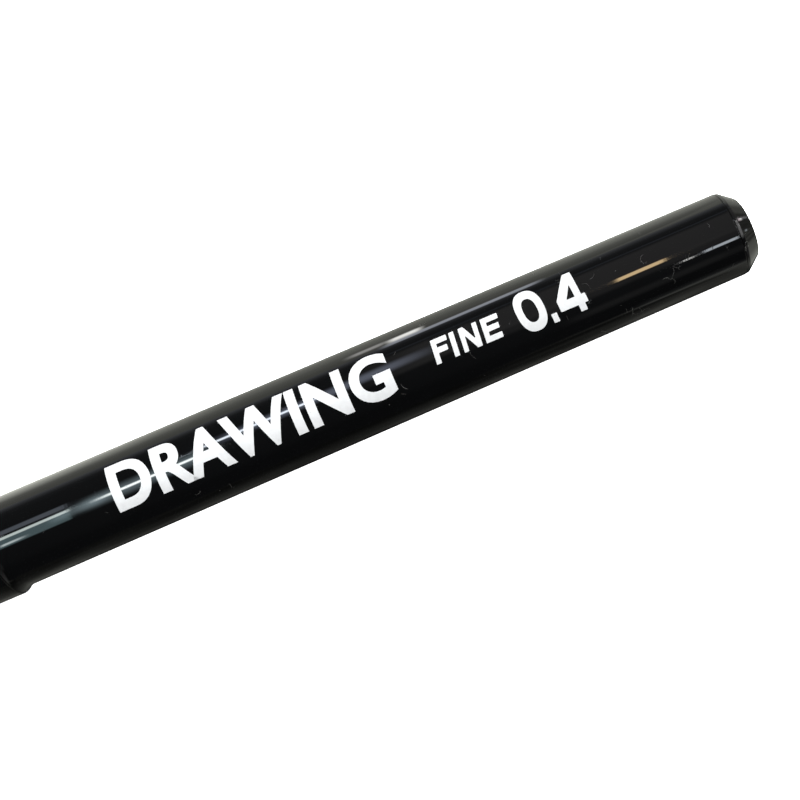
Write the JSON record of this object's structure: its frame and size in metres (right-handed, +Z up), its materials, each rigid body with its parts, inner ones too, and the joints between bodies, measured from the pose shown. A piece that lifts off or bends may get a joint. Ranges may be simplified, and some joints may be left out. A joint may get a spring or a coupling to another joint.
{
  "type": "technical pen",
  "caption": "Capped fibre-tip drawing pen with a tapered gloss barrel, chamfered tail plug, pull-off cap with a spring clip, and a metal-clad fine nib.",
  "frame": {"origin": "centre of the tail plug's flat end face", "axes": "+X out of the tail along the pen's axis, cap and nib towards -X; +Z up, with the printed side of the barrel facing +Z; the clip is on the -Y side, rolled 28 degrees down so that the capped pen rests on the cap and the clip"},
  "size_m": [0.139, 0.0131, 0.0108],
  "materials": {
    "barrel_plastic": "gloss moulded black",
    "cap_plastic": "gloss moulded black",
    "inner_plastic": "natural moulded grey",
    "sleeve_steel": "drawn stainless tube",
    "fibre": "ink-soaked bonded fibre",
    "film": "clear-white wrap film",
    "print_ink": "white pad print"
  },
  "bodies": {
    "pen_body": {"barrel": "barrel_plastic", "tail_plug": "barrel_plastic", "nib_section": "barrel_plastic", "tip_sleeve": "sleeve_steel", "nib": "fibre", "feed_wick": "fibre", "reservoir_fibre": "fibre", "reservoir_film": "film"},
    "cap_core": {"cap_liner": "inner_plastic"},
    "cap": {"cap_shell": "cap_plastic", "cap_crown": "cap_plastic"},
    "clip": {"clip": "cap_plastic"}
  },
  "joints": [
    {"name": "cap_pull", "type": "slide", "parent": "pen_body", "child": "cap_core", "axis": [-1, 0, 0], "range_m": [0, 0.06]},
    {"name": "cap_turn", "type": "hinge", "parent": "cap_core", "child": "cap", "pos_m": [-0.08124, 0, 0], "axis": [-1, 0, 0], "continuous": true},
    {"name": "clip_flex", "type": "hinge", "parent": "cap", "child": "clip", "pos_m": [-0.133, -0.00674, -0.00352], "axis": [0, 0.463, -0.8864], "range_deg": [0, 4.5], "stiffness_Nm_per_rad": 0.02}
  ]
}
